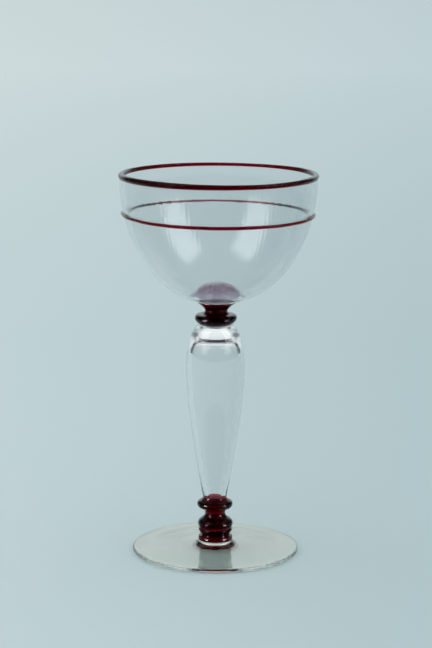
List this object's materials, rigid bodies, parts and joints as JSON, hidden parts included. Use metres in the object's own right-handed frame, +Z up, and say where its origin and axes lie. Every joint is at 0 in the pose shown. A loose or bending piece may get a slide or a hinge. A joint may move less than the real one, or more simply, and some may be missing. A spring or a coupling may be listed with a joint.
{
  "type": "champagne glass",
  "caption": "Stemmed champagne coupe: clear round bowl on a hollow baluster stem and disc foot, with ruby glass trails on the rim and bowl and ruby knops above and below the stem.",
  "frame": {"origin": "centre of the ring that the foot rests on, at the table", "axes": "+Z up along the stem, which is the axis that every piece is turned about; X and Y are level and interchangeable"},
  "size_m": [0.0916, 0.0916, 0.178],
  "materials": {
    "clear_glass": "fire-polished clear blown glass with a faint grey-green tint",
    "ruby_glass": "fire-polished deep ruby glass, nearly black where it is thick"
  },
  "bodies": {
    "root": {"foot": "clear_glass", "foot_collar": "ruby_glass", "lower_knop": "ruby_glass", "stem": "clear_glass", "upper_knop": "ruby_glass", "bowl": "clear_glass", "bowl_thread": "ruby_glass", "rim_wrap": "ruby_glass"}
  },
  "joints": []
}
